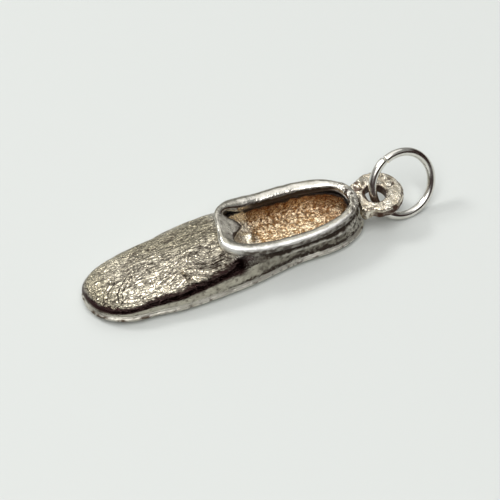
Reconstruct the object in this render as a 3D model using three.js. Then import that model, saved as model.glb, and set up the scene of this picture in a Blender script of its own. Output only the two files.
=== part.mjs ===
// A small metal charm in the shape of a slip-on shoe, with an eye at the heel and a jump ring through it.
// Millimetres. X runs from the toe to the heel, Y across the shoe to the far side, and Z is up.
// The origin is on the flat underside of the sole, halfway along the shoe.

import * as THREE from 'three';
import { mergeVertices } from 'three/addons/utils/BufferGeometryUtils.js';

// Lengths along the shoe, from the tip of the toe
const shoeLength = 24.8;
const vampLength = 12.15; // toe tip to the throat edge
const heelWall = 0.9; // collar line to the back of the heel
const ballPlace = 7.6;
const waistPlace = 13.2;
const seatPlace = 19.0;
const toeRounding = 4.6;
const heelRounding = 4.6;
const endSquareness = 2.2; // of the curve round the toe and the heel: 2 is an ellipse

// Half widths of the shoe at its feather line, on the near side (-Y) and the far side (+Y)
const toeNear = 3.65;
const toeFar = 2.45;
const ballNear = 3.95;
const ballFar = 3.25;
const waistNear = 3.65;
const waistFar = 3.65;
const seatNear = 2.9;
const seatFar = 3.15;

// Heights above the ground
const seamHeight = 0.85; // where the upper meets the sole
const featherHeight = 1.2; // widest line of the upper
const rimHeight = 3.65; // crest of the collar at the heel
const throatHeight = 4.35; // crest of the collar at the throat
const throatReach = 6.0; // length over which the collar falls from the throat to the rim height
const floorHeight = 1.4; // top of the insole
const crownDome = 0.42; // how the vamp rises from the toe to the throat: 0.5 is a parabola, and less is fuller
const farDome = 0.45;
const wallDome = 0.85; // the same for the walls beside the foot
const toeSquareness = 2.3; // of the vamp's cross section on the near side, at the toe and at the throat
const vampSquareness = 2.65;

// The mouth, measured on the centre line of the collar bead
const mouthHalfWidth = 2.69;
const throatSlant = 0.2; // how far the throat edge moves back for each millimetre towards the far side
const throatSquareness = 5.6; // its far corner
const throatNearSquareness = 3.2;
const backSquareness = 2.26;
const nearBeadRadius = 0.45; // and at the heel
const farBeadRadius = 0.6;
const throatNearBeadRadius = 0.47;
const throatFarBeadRadius = 0.3;

// The small pointed lip behind the throat edge
const lipReach = 1.28;
const lipNearEnd = -1.7;
const lipFarEnd = 1.9;
const lipThickness = 0.36;
const lipEdge = 0.12; // depth of the collar's inner edge where there is no lip
const lipDrop = 0.42; // from the bead's top to the lip's tip
const lipStart = THREE.MathUtils.degToRad(104); // how far round the bead the lip leaves it

// Walls round the foot opening
const grooveDrop = 0.66; // crest of the collar to the groove under it
const grooveOut = 0.04;
const wallTopDrop = 0.72;
const wallTopInset = 0.32;
const wallFootInset = 0.6;
const seamInset = 0.15;

// The sole's edge
const soleBulge = 0.06;
const soleBulgeHeight = 0.6;
const soleEdgeInset = 0.22;
const soleEdgeHeight = 0.18;
const soleFlatInset = 0.42;

// The insole, a shallow trough that lies on the sole inside the upper
const insoleClearance = 0.1;
const insoleTopDrop = 0.8;
const insoleEdge = 0.16; // width of its top edge
const floorInset = 1.3;
const floorFront = 3.2; // throat edge to the front of the flat floor

// The eye at the heel
const eyeSeatInset = 0.45; // the flat on the heel where the eye is soldered, in from the back of the shoe
const eyeReach = 1.9; // that flat to the middle of the eye's round
const eyeSide = -0.05;
const eyeRadius = 2.15;
const eyeHoleRadius = 1.05;
const holeForward = 0.35; // from the middle of the round to the middle of the hole, towards the shoe
const holeSide = -0.15; // and to the near side
const eyeThickness = 1.1;
const eyeMiddleHeight = 2.5;
const eyeEdgeRounding = 0.16;
const neckHalfWidth = 1.5;
const neckStraight = 0.25; // length of the neck before it flares
const neckRun = THREE.MathUtils.degToRad(112); // where the neck leaves the round of the eye

// The jump ring
const ringMiddleRadius = 2.78;
const wireRadius = 0.36;
const ringGap = 0.08; // opening between the two cut ends
const ringTilt = THREE.MathUtils.degToRad(60); // between the ring's plane and the ground
const ringHeading = THREE.MathUtils.degToRad(6); // from straight back, towards the far side
const ringCutPlace = THREE.MathUtils.degToRad(112); // where the cut is, round from the far end

const wireForward = 0.05; // from the middle of the hole to the wire in it, towards the shoe
const wireSide = -0.15; // and to the near side

// How finely the round forms are divided
const meridians = 96;
const domeRings = 9;
const beadRings = 5;
const insoleRings = 5;
const eyeArcSteps = 14; // in each half turn
const eyeEdgeSteps = 2;
const wireArcSteps = 6; // in each half turn
const ringSteps = 56;

// Values that follow from the sizes
const toeX = -shoeLength / 2;
const throatX = toeX + vampLength;
const heelX = toeX + shoeLength;
const mouthBackX = heelX - heelWall;
const mouthX = (throatX + mouthBackX) / 2;
const mouthHalfLength = (mouthBackX - throatX) / 2;
const eyeSeatX = heelX - eyeSeatInset;
const eyeX = eyeSeatX + eyeReach;
const wireX = eyeX - holeForward - wireForward;
const wireY = eyeSide + holeSide + wireSide;

const mix = THREE.MathUtils.lerp;

// 0 at the start and 1 at the end, smooth between
function fade(value, start, end) {
  const t = THREE.MathUtils.clamp((value - start) / (end - start), 0, 1);
  return t * t * (3 - 2 * t);
}

function signedPower(value, exponent) {
  return Math.sign(value) * Math.abs(value) ** exponent;
}

// A smooth function through a few stations [place, value], level at both ends
function through(stations) {
  const slope = stations.map((station, i) => {
    if (i === 0 || i === stations.length - 1) return 0;
    const before = stations[i - 1];
    const after = stations[i + 1];
    return (after[1] - before[1]) / (after[0] - before[0]);
  });
  return (place) => {
    if (place <= stations[0][0]) return stations[0][1];
    for (let i = 0; i + 1 < stations.length; i += 1) {
      const [x0, y0] = stations[i];
      const [x1, y1] = stations[i + 1];
      if (place <= x1) {
        const t = (place - x0) / (x1 - x0);
        const a = y0 * (1 + 2 * t) * (1 - t) ** 2 + y1 * (3 - 2 * t) * t ** 2;
        return a + (x1 - x0) * (slope[i] * t * (1 - t) ** 2 - slope[i + 1] * (1 - t) * t ** 2);
      }
    }
    return stations.at(-1)[1];
  };
}

const nearHalfWidth = through([[toeRounding, toeNear], [ballPlace, ballNear], [waistPlace, waistNear],
  [seatPlace, seatNear]]);
const farHalfWidth = through([[toeRounding, toeFar], [ballPlace, ballFar], [waistPlace, waistFar],
  [seatPlace, seatFar]]);

// How far the lip reaches past the bead, by its place across the shoe
const lipOut = through([[lipNearEnd, 0], [0.53 * lipNearEnd, 0.28 * lipReach], [0.06 * lipNearEnd, 0.97 * lipReach],
  [0.05 * lipFarEnd, lipReach], [0.47 * lipFarEnd, 0.62 * lipReach], [lipFarEnd, 0]]);

// How much of its full width the shoe has at a distance from an end: a quarter of a round curve
function endRounding(distance, rounding) {
  const outside = THREE.MathUtils.clamp(1 - distance / rounding, 0, 1);
  return (1 - outside ** endSquareness) ** (1 / endSquareness);
}

// The plan of the shoe at its feather line, by the angle round the mouth, drawn in by an inset
function outline(angle, inset) {
  const along = Math.cos(angle);
  const reach = along > 0 ? heelX - inset - mouthX : mouthX - toeX - inset;
  const x = mouthX + along * reach;
  const fromToe = x - toeX - inset;
  const fromHeel = heelX - inset - x;
  const across = Math.sin(angle);
  const half = across > 0 ? farHalfWidth(x - toeX) : nearHalfWidth(x - toeX);
  const ends = endRounding(fromToe, toeRounding) * endRounding(fromHeel, heelRounding);
  return [x, Math.sign(across) * (half - inset) * ends];
}

// An oval with its square, slanting end towards the toe, by the same angle
function oval(angle, middleX, halfLength, halfWidth) {
  const along = Math.cos(angle);
  const corner = Math.sin(angle) < 0 ? throatNearSquareness : throatSquareness;
  const squareness = along < 0 ? corner : backSquareness;
  const y = halfWidth * signedPower(Math.sin(angle), 2 / squareness);
  const slant = along < 0 ? throatSlant * y * Math.abs(along) ** (2 / squareness) : 0;
  return [middleX + halfLength * signedPower(along, 2 / squareness) + slant, y];
}

// The plan of the mouth on its bead, grown by an outset (or drawn in where it is negative)
function mouth(angle, outset) {
  return oval(angle, mouthX, mouthHalfLength + outset, mouthHalfWidth + outset);
}

// The bead is thickest along the far side and thin at the throat's far corner
function beadRadius(angle) {
  const side = mix(nearBeadRadius, farBeadRadius, fade(Math.sin(angle), 0.5, 0.9));
  const throat = mix(throatNearBeadRadius, throatFarBeadRadius, fade(Math.sin(angle), -0.3, 0.4));
  return mix(side, throat, fade(Math.cos(angle), -0.3, -0.8));
}

// How far the groove lies under the crest: a thick bead needs a deeper one
function grooveDepth(angle) {
  return Math.max(grooveDrop, 1.5 * beadRadius(angle));
}

// The crest of the collar falls from the throat to the rim height along a soft curve
function crest(x) {
  const left = THREE.MathUtils.clamp(1 - (x - throatX) / throatReach, 0, 1);
  return rimHeight + (throatHeight - rimHeight) * left ** 2;
}

// Height of the vamp's near half over the plan: its crown rises towards the throat, and each cross section is a
// quarter of a superellipse
function vampHeight(x, y) {
  const along = THREE.MathUtils.clamp((x - toeX) / vampLength, 0, 1);
  const crown = mix(featherHeight, throatHeight - grooveDrop, along ** crownDome) - seamHeight;
  const half = nearHalfWidth(x - toeX) * endRounding(x - toeX, toeRounding);
  const outward = half > 0 ? Math.min(1, Math.abs(y) / half) : 0;
  const squareness = mix(toeSquareness, vampSquareness, fade(x, throatX - 4.75, throatX - 0.75));
  const rise = (1 - outward ** squareness) ** (1 / squareness);
  const step = featherHeight - seamHeight;
  return seamHeight + Math.sqrt(step ** 2 + (crown ** 2 - step ** 2) * rise ** 2);
}

// Height of the upper between its feather line (share 0) and the groove under the collar (share 1)
function upperHeight(angle, x, y, share) {
  const [ox] = outline(angle, 0);
  const [mx, my] = mouth(angle, grooveOut);
  const top = crest(mx) - grooveDepth(angle);
  const wall = mix(featherHeight, top, share ** wallDome);
  const farVamp = mix(featherHeight, top, share ** mix(crownDome, farDome, Math.max(0, Math.sin(angle))));
  const far = mix(farVamp, wall, fade(ox, throatX - 3.75, throatX + 1.75));
  const nearVamp = vampHeight(x, y) + (top - vampHeight(mx, my)) * share ** 3;
  const near = mix(nearVamp, wall, fade(x, throatX - 0.65, throatX + 0.95));
  return mix(near, far, fade(y, -0.6, 0.6));
}

// Angles for the meridians, so that they step evenly along both the mouth and the outline
function meridianAngles() {
  const fine = 2880;
  const travel = [0];
  const at = (i) => (2 * Math.PI * i) / fine;
  for (let i = 1; i <= fine; i += 1) {
    const [mx0, my0] = mouth(at(i - 1), 0);
    const [mx1, my1] = mouth(at(i), 0);
    const [ox0, oy0] = outline(at(i - 1), 0);
    const [ox1, oy1] = outline(at(i), 0);
    travel.push(travel[i - 1] + Math.hypot(mx1 - mx0, my1 - my0) + Math.hypot(ox1 - ox0, oy1 - oy0) / 2);
  }
  const angles = [];
  let i = 0;
  for (let k = 0; k < meridians; k += 1) {
    const goal = (travel[fine] * k) / meridians;
    while (travel[i + 1] < goal) i += 1;
    angles.push(at(i + (goal - travel[i]) / (travel[i + 1] - travel[i])));
  }
  return angles;
}

const angles = meridianAngles();

function ring(point) {
  return angles.map(point);
}

// A closed skin over a list of rings: joined end to end like a tyre, or closed by a point at each end
function skin(rings, firstPole, lastPole) {
  const positions = rings.flat(2);
  const indices = [];
  const count = meridians;
  const last = (rings.length - 1) * count;
  if (firstPole) {
    const poles = positions.length / 3;
    positions.push(...firstPole, ...lastPole);
    for (let j = 0; j < count; j += 1) {
      const next = (j + 1) % count;
      indices.push(poles, next, j);
      indices.push(poles + 1, last + j, last + next);
    }
  }
  const strip = (a, b) => {
    for (let j = 0; j < count; j += 1) {
      const next = (j + 1) % count;
      indices.push(a + j, a + next, b + next, a + j, b + next, b + j);
    }
  };
  for (let i = 0; i < last; i += count) strip(i, i + count);
  if (!firstPole) strip(last, 0);
  const geometry = new THREE.BufferGeometry();
  geometry.setAttribute('position', new THREE.Float32BufferAttribute(positions, 3));
  geometry.setIndex(indices);
  return geometry;
}

// The upper: from the seam up the wall or over the vamp, round the collar bead, and down the inner wall
function upperGeometry() {
  const heelFlat = (x) => Math.min(x, eyeSeatX);
  const rings = [ring((angle) => {
    const [x, y] = outline(angle, seamInset);
    return [heelFlat(x), y, seamHeight];
  })];
  for (let i = 0; i < domeRings; i += 1) {
    const outward = 1 - i / domeRings;
    rings.push(ring((angle) => {
      const [ox, oy] = outline(angle, 0);
      const [mx, my] = mouth(angle, grooveOut);
      const x = mix(mx, ox, outward);
      const y = mix(my, oy, outward);
      return [heelFlat(x), y, upperHeight(angle, x, y, 1 - outward)];
    }));
  }
  const beadStart = -Math.PI / 3;
  const lip = (angle) => (Math.cos(angle) < 0 ? lipOut(mouth(angle, -beadRadius(angle))[1]) : 0);
  const flat = (angle) => fade(lip(angle), 0, 0.4);
  const bead = (angle, share) => {
    const turn = mix(beadStart, mix(Math.PI, lipStart, flat(angle)), share);
    const radius = beadRadius(angle);
    const [x, y] = mouth(angle, radius * Math.cos(turn));
    return [x, y, crest(x) - radius + radius * Math.sin(turn)];
  };
  for (let i = 0; i <= beadRings; i += 1) rings.push(ring((angle) => bead(angle, i / beadRings)));
  for (const under of [0, 1]) {
    rings.push(ring((angle) => {
      const [x, y] = mouth(angle, -beadRadius(angle));
      const top = bead(angle, 1)[2] - lipDrop * flat(angle);
      return [x + lip(angle), y, top - lipEdge / 2 - under * mix(lipEdge, lipThickness, flat(angle))];
    }));
  }
  rings.push(ring((angle) => {
    const [x, y] = mouth(angle, -wallTopInset);
    return [x, y, crest(x) - wallTopDrop];
  }));
  rings.push(ring((angle) => [...mouth(angle, -wallFootInset), seamHeight]));
  return skin(rings);
}

// The sole: a flat plate with a rounded edge, as wide as the upper at the seam
function soleGeometry() {
  const edge = (inset, height) => ring((angle) => [...outline(angle, inset), height]);
  const rings = [
    edge(soleFlatInset, 0),
    edge(soleEdgeInset, soleEdgeHeight),
    edge(soleBulge, soleBulgeHeight),
    edge(seamInset, seamHeight),
  ];
  return skin(rings, [0, 0, 0], [0, 0, seamHeight]);
}

// The insole: flat below, with its sides turned up against the inner wall and its front sloping to the throat
function insoleGeometry() {
  const floorHalfLength = mouthHalfLength - (floorFront + floorInset) / 2;
  const floorX = mouthX + (floorFront - floorInset) / 2;
  const floor = (angle) => oval(angle, floorX, floorHalfLength, mouthHalfWidth - floorInset);
  const topInset = wallTopInset + insoleClearance;
  const rings = [
    ring((angle) => [...mouth(angle, -wallFootInset - insoleClearance), seamHeight]),
    ring((angle) => {
      const [x, y] = mouth(angle, -topInset);
      return [x, y, crest(x) - insoleTopDrop];
    }),
  ];
  for (let i = 0; i <= insoleRings; i += 1) {
    const turn = (Math.PI / 2) * (i / insoleRings);
    rings.push(ring((angle) => {
      const [tx, ty] = mouth(angle, -topInset - insoleEdge);
      const [fx, fy] = floor(angle);
      const top = crest(tx) - insoleTopDrop;
      const inward = 1 - Math.cos(turn);
      return [mix(tx, fx, inward), mix(ty, fy, inward), mix(top, floorHeight, Math.sin(turn))];
    }));
  }
  return skin(rings, [mouthX, 0, seamHeight], [floorX, 0, floorHeight]);
}

// The eye: a thick round tab with a hole, whose flared neck ends on the flat of the heel
function eyeGeometry() {
  const neckX = Math.cos(neckRun) * eyeRadius;
  const neckY = Math.sin(neckRun) * eyeRadius;
  const flareX = neckStraight - eyeReach;
  const pullX = (neckX + flareX) / 2;
  const shape = new THREE.Shape();
  shape.moveTo(-eyeReach, -neckHalfWidth);
  shape.lineTo(flareX, -neckHalfWidth);
  shape.quadraticCurveTo(pullX, -neckHalfWidth, neckX, -neckY);
  shape.absarc(0, 0, eyeRadius, -neckRun, neckRun, false);
  shape.quadraticCurveTo(pullX, neckHalfWidth, flareX, neckHalfWidth);
  shape.lineTo(-eyeReach, neckHalfWidth);
  shape.closePath();
  const hole = new THREE.Path();
  hole.absarc(-holeForward, holeSide, eyeHoleRadius, 0, 2 * Math.PI, true);
  shape.holes.push(hole);
  const geometry = new THREE.ExtrudeGeometry(shape, {
    depth: eyeThickness - 2 * eyeEdgeRounding,
    bevelThickness: eyeEdgeRounding,
    bevelSize: eyeEdgeRounding,
    bevelOffset: -eyeEdgeRounding,
    bevelSegments: eyeEdgeSteps,
    curveSegments: eyeArcSteps,
  });
  geometry.translate(0, 0, eyeEdgeRounding - eyeThickness / 2);
  return geometry;
}

// The centre line of the ring's wire, one turn less the gap at its cut
class WireLine extends THREE.Curve {
  getPoint(t, target = new THREE.Vector3()) {
    const halfGap = ringGap / 2 / ringMiddleRadius;
    const turn = ringCutPlace + halfGap + t * 2 * (Math.PI - halfGap);
    return target.set(ringMiddleRadius * Math.cos(turn), ringMiddleRadius * Math.sin(turn), 0);
  }
}

function ringGeometry() {
  const section = new THREE.Shape();
  section.absarc(0, 0, wireRadius, 0, 2 * Math.PI, false);
  return new THREE.ExtrudeGeometry(section, {
    steps: ringSteps,
    curveSegments: wireArcSteps,
    extrudePath: new WireLine(),
  });
}

// Joins the doubled points that an extrusion leaves, so that the body is one closed mesh
function sealed(geometry) {
  geometry.deleteAttribute('normal');
  geometry.deleteAttribute('uv');
  return mergeVertices(geometry, 1e-5);
}

const castMetal = () => new THREE.MeshStandardMaterial({ color: 0xa89c88, roughness: 0.34, metalness: 1 });
const soleMetal = () => new THREE.MeshStandardMaterial({ color: 0x9b8f7b, roughness: 0.42, metalness: 1 });
const copperSkin = () => new THREE.MeshStandardMaterial({ color: 0x9a6a42, roughness: 0.55, metalness: 0.9 });
const eyeMetal = () => new THREE.MeshStandardMaterial({ color: 0xa8957a, roughness: 0.36, metalness: 1 });
const brightWire = () => new THREE.MeshStandardMaterial({ color: 0xd4d4d0, roughness: 0.14, metalness: 1 });

function piece(name, geometry, material) {
  geometry.computeVertexNormals();
  const mesh = new THREE.Mesh(geometry, material);
  mesh.name = name;
  return mesh;
}

const charm = new THREE.Group();
charm.add(piece('upper', upperGeometry(), castMetal()));
charm.add(piece('sole', soleGeometry(), soleMetal()));
charm.add(piece('insole', insoleGeometry(), copperSkin()));

const eye = piece('heel_eye', sealed(eyeGeometry()), eyeMetal());
eye.position.set(eyeX, eyeSide, eyeMiddleHeight);
charm.add(eye);

// The ring stands on the ground and its wire runs through the eye's hole
const jumpRing = piece('jump_ring', sealed(ringGeometry()), brightWire());
const ringCentreHeight = ringMiddleRadius * Math.sin(ringTilt) + wireRadius;
const upPlane = (eyeMiddleHeight - ringCentreHeight) / Math.sin(ringTilt);
const backPlane = Math.sqrt(ringMiddleRadius ** 2 - upPlane ** 2);
jumpRing.position.set(backPlane, -upPlane * Math.cos(ringTilt), 0);
jumpRing.rotation.x = ringTilt;
const ringSwing = new THREE.Group();
ringSwing.position.set(wireX, wireY, ringCentreHeight);
ringSwing.rotation.z = ringHeading;
ringSwing.add(jumpRing);
charm.add(ringSwing);

export default charm;
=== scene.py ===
# %% [markdown]
# # A cast shoe charm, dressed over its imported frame
#
# The real object is a metal charm as long as a finger joint: a soft slipper with a rolled collar, an eye at the
# heel and a jump ring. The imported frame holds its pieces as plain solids. This file gives each piece a finer skin
# of the same size, with the wrinkles, pits and polish of a casting, then lights it and places the camera.

import math

import bpy
import numpy as np
from mathutils import Matrix, Vector


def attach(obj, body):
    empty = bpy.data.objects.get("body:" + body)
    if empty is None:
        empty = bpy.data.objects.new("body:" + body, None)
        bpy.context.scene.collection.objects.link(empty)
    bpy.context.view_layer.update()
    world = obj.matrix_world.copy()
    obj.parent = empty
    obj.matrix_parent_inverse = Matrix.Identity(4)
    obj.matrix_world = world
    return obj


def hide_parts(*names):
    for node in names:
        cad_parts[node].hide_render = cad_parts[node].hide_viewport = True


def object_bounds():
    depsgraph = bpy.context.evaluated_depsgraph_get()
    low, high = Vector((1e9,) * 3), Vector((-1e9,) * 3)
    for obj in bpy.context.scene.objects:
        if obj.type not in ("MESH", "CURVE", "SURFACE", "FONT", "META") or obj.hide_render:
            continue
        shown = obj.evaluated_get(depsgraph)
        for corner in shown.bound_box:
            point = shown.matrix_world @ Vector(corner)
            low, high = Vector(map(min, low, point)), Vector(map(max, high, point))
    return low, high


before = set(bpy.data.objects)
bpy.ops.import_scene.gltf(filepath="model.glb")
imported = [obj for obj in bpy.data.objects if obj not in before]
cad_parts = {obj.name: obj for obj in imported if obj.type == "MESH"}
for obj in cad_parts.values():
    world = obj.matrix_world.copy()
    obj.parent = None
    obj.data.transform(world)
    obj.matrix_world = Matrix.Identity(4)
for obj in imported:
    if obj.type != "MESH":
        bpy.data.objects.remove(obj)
cad_box = [list(corner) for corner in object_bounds()]

# %% [markdown]
# ## Sizes
#
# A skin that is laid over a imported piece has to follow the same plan, or the two would part at the seams. So the
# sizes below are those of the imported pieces, in millimetres. X runs from the toe to the heel, Y to the far side and
# Z is up. A mesh is scaled to metres only when it is made.

# %% The sizes of the shoe
MILLIMETRE = 0.001
TOE, THROAT, MOUTH_BACK, HEEL = -12.4, -0.25, 11.5, 12.4
MOUTH_X = (THROAT + MOUTH_BACK) / 2
MOUTH_HALF_LENGTH = (MOUTH_BACK - THROAT) / 2
MOUTH_HALF_WIDTH = 2.69
END_ROUNDING, END_SQUARENESS = 4.6, 2.2
THROAT_SLANT, THROAT_NEAR_SQUARENESS, THROAT_FAR_SQUARENESS, BACK_SQUARENESS = 0.2, 3.2, 5.6, 2.26
SEAM, FEATHER, RIM, THROAT_HEIGHT, THROAT_REACH, FLOOR = 0.85, 1.2, 3.65, 4.35, 6.0, 1.4
NEAR_BEAD, FAR_BEAD, THROAT_NEAR_BEAD, THROAT_FAR_BEAD, BEAD_SQUARENESS = 0.45, 0.6, 0.47, 0.3, 0.8
SEAM_INSET, GROOVE_DROP, GROOVE_OUT = 0.15, 0.66, 0.04
WALL_TOP_DROP, WALL_TOP_INSET, WALL_FOOT_INSET = 0.72, 0.32, 0.6
LIP_THICKNESS, LIP_EDGE, LIP_DROP, LIP_START = 0.36, 0.12, 0.42, math.radians(104)
EYE_SEAT, EYE_REACH, EYE_SIDE, EYE_HEIGHT = 11.95, 1.9, -0.05, 2.5
EYE_RADIUS, EYE_HOLE, EYE_THICKNESS = 2.15, 1.05, 1.1
HOLE_FORWARD, HOLE_SIDE, WIRE_FORWARD, WIRE_SIDE = 0.35, -0.15, 0.05, -0.15
NECK_HALF_WIDTH, NECK_STRAIGHT, NECK_RUN = 1.5, 0.25, math.radians(112)
RING_RADIUS, WIRE_RADIUS, RING_GAP = 2.78, 0.36, 0.08
RING_TILT, RING_HEADING, RING_CUT = math.radians(60), math.radians(6), math.radians(112)
print("the shoe is", round(HEEL - TOE, 2), "mm long")


# %% [markdown]
# ## Curves in the plan
#
# The shoe is a fan of lines that run from its outline up to the rolled edge of its mouth. Each line is told by one
# angle round the mouth. The functions take whole arrays of angles, so no loop over points is needed.

# %% Small helpers for arrays
def mix(a, b, share):
    """a where share is 0, b where share is 1, and evenly between."""
    return a + (b - a) * share


def fade(value, start, end):
    """0 at start and 1 at end, along the smooth step 3t² - 2t³. start may lie above end."""
    t = np.clip((value - start) / (end - start), 0, 1)
    return t * t * (3 - 2 * t)


def hump(value, centre, width):
    """A bell: 1 at the centre, falling off over the width."""
    return np.exp(-(((value - centre) / width) ** 2))


def signed_power(value, exponent):
    """The power of the value's size, with the value's sign."""
    return np.sign(value) * np.abs(value) ** exponent


def through(stations):
    """A smooth curve through [place, value] stations: cubic pieces whose slopes meet, level at both ends."""
    places, values = np.array(stations, float).T
    slopes = np.zeros(len(places))
    slopes[1:-1] = (values[2:] - values[:-2]) / (places[2:] - places[:-2])

    def curve(place):
        place = np.clip(place, places[0], places[-1])
        i = np.clip(np.searchsorted(places, place) - 1, 0, len(places) - 2)
        run = places[i + 1] - places[i]
        t = (place - places[i]) / run
        level = values[i] * (1 + 2 * t) * (1 - t) ** 2 + values[i + 1] * (3 - 2 * t) * t**2
        return level + run * (slopes[i] * t * (1 - t) ** 2 - slopes[i + 1] * (1 - t) * t**2)

    return curve


# %% The plan of the shoe and of its mouth
near_half_width = through([[4.6, 3.65], [7.6, 3.95], [13.2, 3.65], [19.0, 2.9]])
far_half_width = through([[4.6, 2.45], [7.6, 3.25], [13.2, 3.65], [19.0, 3.15]])


def end_rounding(distance):
    """The share of its full width that the shoe has at a distance from an end: a quarter of a superellipse."""
    outside = np.clip(1 - distance / END_ROUNDING, 0, 1)
    return (1 - outside**END_SQUARENESS) ** (1 / END_SQUARENESS)


def outline(angle, inset):
    """x and y on the shoe's outline, drawn in by the inset: x goes as the cosine, and the half width follows x."""
    along = np.cos(angle)
    x = MOUTH_X + along * np.where(along > 0, HEEL - inset - MOUTH_X, MOUTH_X - TOE - inset)
    side = np.sin(angle)
    half = np.where(side > 0, far_half_width(x - TOE), near_half_width(x - TOE))
    ends = end_rounding(x - TOE - inset) * end_rounding(HEEL - inset - x)
    return x, np.sign(side) * (half - inset) * ends


def oval(angle, middle_x, half_length, half_width):
    """x and y on an oval that is round at the heel and square towards the toe, where it also slants."""
    along = np.cos(angle)
    corner = np.where(np.sin(angle) < 0, THROAT_NEAR_SQUARENESS, THROAT_FAR_SQUARENESS)
    power = 2 / np.where(along < 0, corner, BACK_SQUARENESS)
    y = half_width * signed_power(np.sin(angle), power)
    slant = np.where(along < 0, THROAT_SLANT * y * np.abs(along) ** power, 0)
    return middle_x + half_length * signed_power(along, power) + slant, y


def mouth(angle, outset):
    """x and y on the line of the collar's bead, grown by the outset."""
    return oval(angle, MOUTH_X, MOUTH_HALF_LENGTH + outset, MOUTH_HALF_WIDTH + outset)


lip_reach = through([[-1.7, 0.0], [-0.9, 0.36], [-0.1, 1.24], [0.1, 1.28], [0.9, 0.8], [1.9, 0.0]])


def bead_radius(angle):
    """The bead is thickest along the far side and thin at the throat's far corner."""
    along_side = mix(NEAR_BEAD, FAR_BEAD, fade(np.sin(angle), 0.5, 0.9))
    throat = mix(THROAT_NEAR_BEAD, THROAT_FAR_BEAD, fade(np.sin(angle), -0.3, 0.4))
    return mix(along_side, throat, fade(np.cos(angle), -0.3, -0.8))


def crest(x):
    """Height of the collar: a parabola that falls from the throat to the level rim."""
    return RIM + (THROAT_HEIGHT - RIM) * np.clip(1 - (x - THROAT) / THROAT_REACH, 0, 1) ** 2


CROWN_POWER, SECTION_POWER, SECTION_SQUARING = 0.42, 2.3, 0.35


def vamp_height(x, y):
    """Height of the vamp's near half over the plan. Its crown rises from the toe to the throat almost as a square
    root, and each cross section is a quarter of a superellipse, rounder at the toe and squarer near the throat."""
    along = np.clip((x - TOE) / (THROAT - TOE), 0, 1)
    crown = FEATHER + (THROAT_HEIGHT - GROOVE_DROP - FEATHER) * along**CROWN_POWER
    half = near_half_width(x - TOE) * end_rounding(x - TOE)
    outward = np.clip(np.abs(y) / np.maximum(half, 1e-6), 0, 1)
    power = SECTION_POWER + SECTION_SQUARING * fade(x, -5, -1)
    rise = (1 - outward**power) ** (1 / power)
    step = FEATHER - SEAM
    return SEAM + np.sqrt(step**2 + ((crown - SEAM) ** 2 - step**2) * rise**2)


def even_angles(count):
    """Angles that step evenly along the mouth and half as much along the outline, found on a fine table."""
    fine = np.linspace(0, 2 * np.pi, 7201)
    travel = np.zeros(len(fine))
    for (x, y), weight in ((mouth(fine, 0), 1), (outline(fine, 0), 0.5)):
        travel[1:] += weight * np.cumsum(np.hypot(np.diff(x), np.diff(y)))
    return np.interp(np.arange(count) * travel[-1] / count, travel, fine)


print("mouth", np.round(mouth(np.array([0, np.pi / 2, np.pi]), 0), 2).tolist())


# %% [markdown]
# ## From a grid of points to a mesh
#
# Every skin here is a grid: rings of points, one after another, each with the same number of columns. The columns
# join round. The rings either join end to end, like a tyre, or the first and the last close on a point. Blender
# takes such a grid as one list of points and one list of four-cornered faces.

# %% Grid tools
def grid(x, y, z):
    """One array [ring, column, 3] from three that are spread to the same shape."""
    return np.stack(np.broadcast_arrays(x, y, z), -1).astype(float)


def normals(points, tyre):
    """The outward direction at each point: the cross product of the steps along a ring and from ring to ring."""
    along = np.roll(points, -1, 1) - np.roll(points, 1, 1)
    if tyre:
        across = np.roll(points, -1, 0) - np.roll(points, 1, 0)
    else:
        across = np.gradient(points, axis=0)
    normal = np.cross(along, across)
    return normal / np.maximum(np.linalg.norm(normal, axis=-1, keepdims=True), 1e-9)


def raised(points, lift, tyre):
    """The points moved outwards by the lift, in millimetres, each along its own normal."""
    print("relief from", round(float(lift.min()), 2), "to", round(float(lift.max()), 2), "mm")
    return points + lift[..., None] * normals(points, tyre)


def lattice_noise(points, size, seed):
    """Random lumps about `size` millimetres apart, from -1 to 1: random numbers on a cubic lattice, blended between
    the corners of each cell by the smooth step."""
    table = np.random.default_rng(seed).uniform(-1, 1, (32, 32, 32))
    place = points / size
    low = np.floor(place).astype(int)
    t = fade(place - low, 0, 1)
    total = np.zeros(points.shape[:-1])
    for corner in np.ndindex(2, 2, 2):
        weight = np.prod(np.where(corner, t, 1 - t), axis=-1)
        i, j, k = np.moveaxis((low + corner) % 32, -1, 0)
        total += weight * table[i, j, k]
    return total


def lumps(points, *layers):
    """Random lumps of several sizes, added up. Each layer is a strength, a size in millimetres and a seed."""
    return sum(strength * lattice_noise(points, size, seed) for strength, size, seed in layers)


def placed(name, data):
    """A new object with this data. Blender only shows an object that a collection of the scene holds."""
    made = bpy.data.objects.new(name, data)
    bpy.context.scene.collection.objects.link(made)
    return made


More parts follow.
